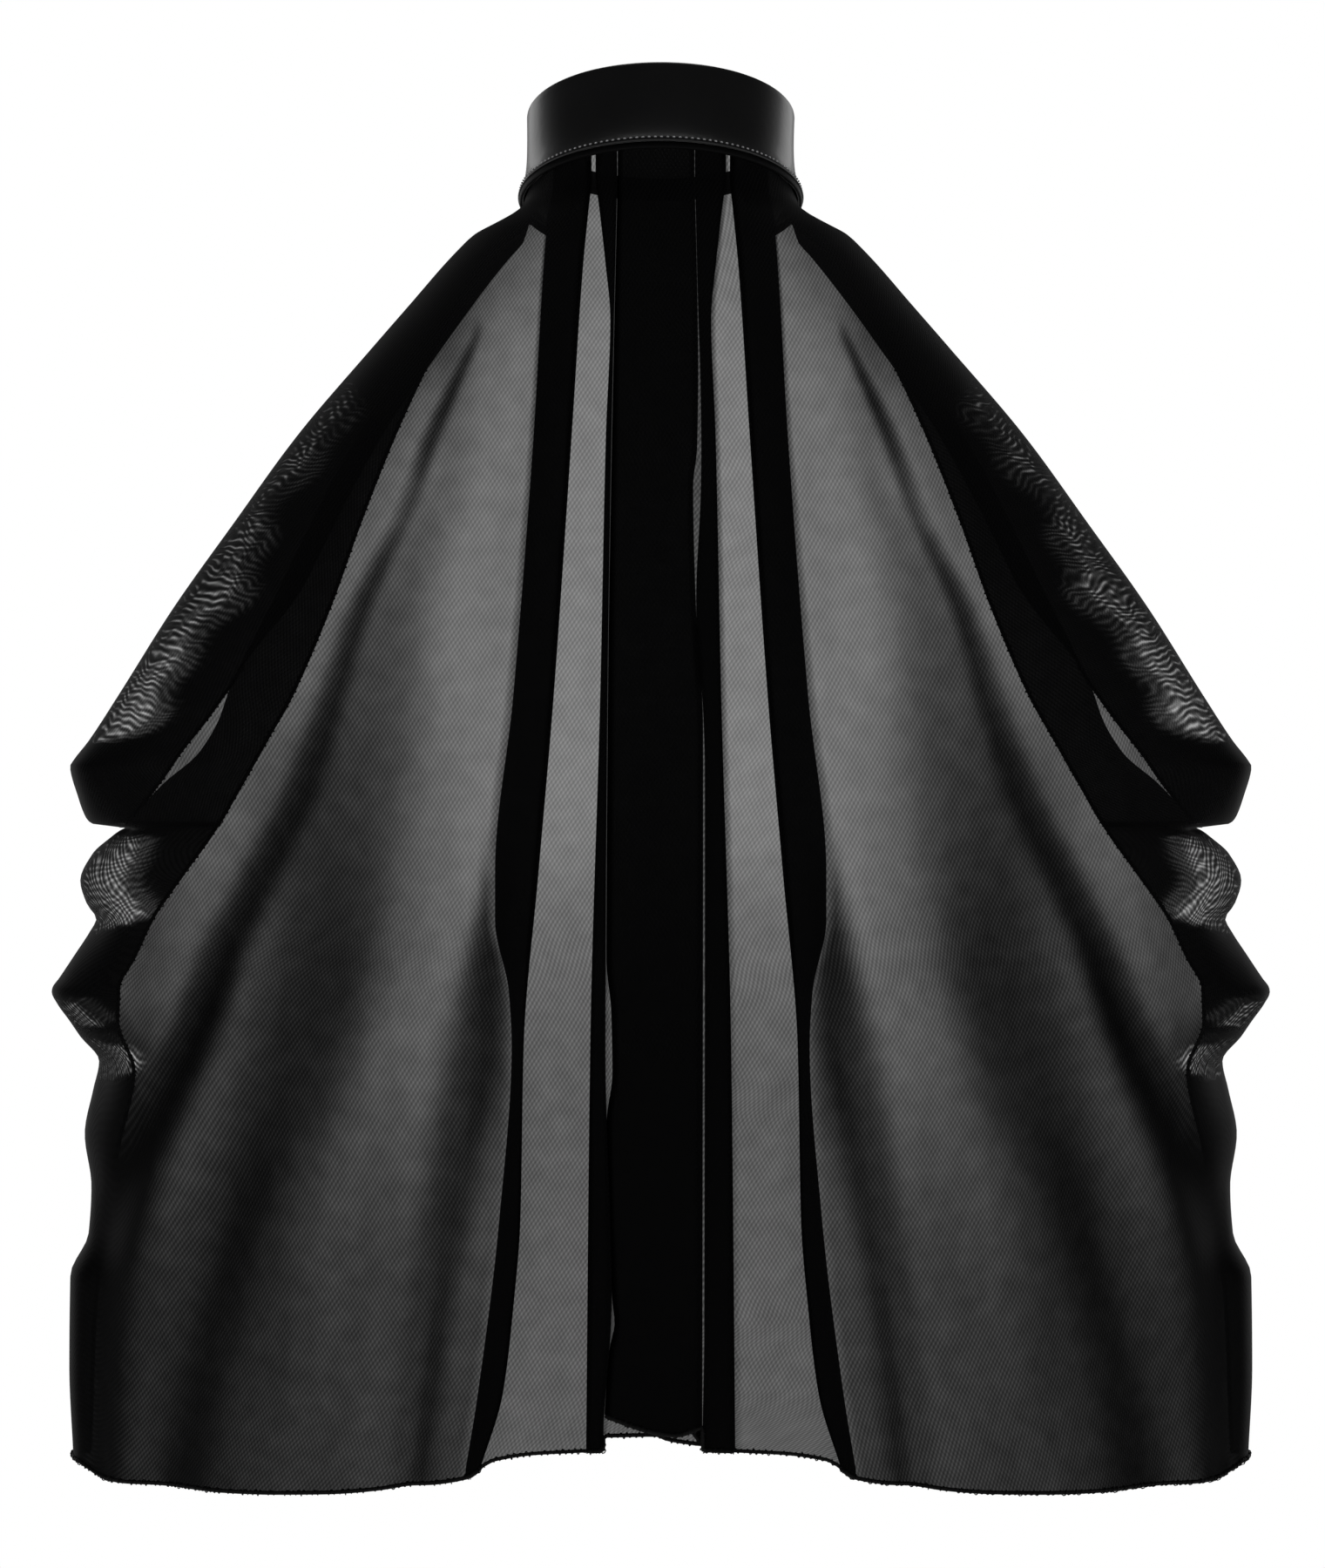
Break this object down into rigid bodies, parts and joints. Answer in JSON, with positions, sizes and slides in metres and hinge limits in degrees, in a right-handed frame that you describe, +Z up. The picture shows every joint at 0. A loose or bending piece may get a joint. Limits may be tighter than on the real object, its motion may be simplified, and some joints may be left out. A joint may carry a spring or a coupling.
{
  "type": "sheer mesh cape",
  "caption": "Short sheer black mesh cape, pleated into a glossy stand collar with a snapped strap across the throat, open at the front.",
  "frame": {"origin": "centre of the collar's opening, half way up the collar, on its axis", "axes": "+Z up along the hanging cape, -Y the wearer's back, which faces the picture's camera, +X to the right as seen from behind"},
  "size_m": [0.632, 0.2461, 0.7215],
  "materials": {
    "glossy_leather": "gloss",
    "lining_leather": "satin",
    "interfacing": "matte",
    "sheer_mesh": "matte",
    "overlock_thread": "matte",
    "sewing_thread": "satin",
    "snap_metal": "gloss"
  },
  "bodies": {
    "cape": {"collar_facing": "glossy_leather", "neck_binding": "glossy_leather", "tab_base": "glossy_leather", "collar_lining": "lining_leather", "collar_stiffener": "interfacing", "cape_back": "sheer_mesh", "cape_side_left": "sheer_mesh", "cape_side_right": "sheer_mesh", "hem_back": "overlock_thread", "hem_left": "overlock_thread", "hem_right": "overlock_thread", "front_edge_left": "overlock_thread", "front_edge_right": "overlock_thread", "collar_stitching": "sewing_thread", "tab_stitching": "sewing_thread", "snap_studs": "snap_metal", "snap_posts": "snap_metal"},
    "tab": {"tab_facing": "glossy_leather", "tab_stiffener": "interfacing", "tab_lining": "lining_leather", "snap_caps": "snap_metal", "snap_sockets": "snap_metal"}
  },
  "joints": [
    {"name": "tab_hinge", "type": "hinge", "parent": "cape", "child": "tab", "pos_m": [-0.05279, 0.05255, -0.01507], "axis": [0, 0.2756, 0.9613], "range_deg": [0, 80]}
  ]
}
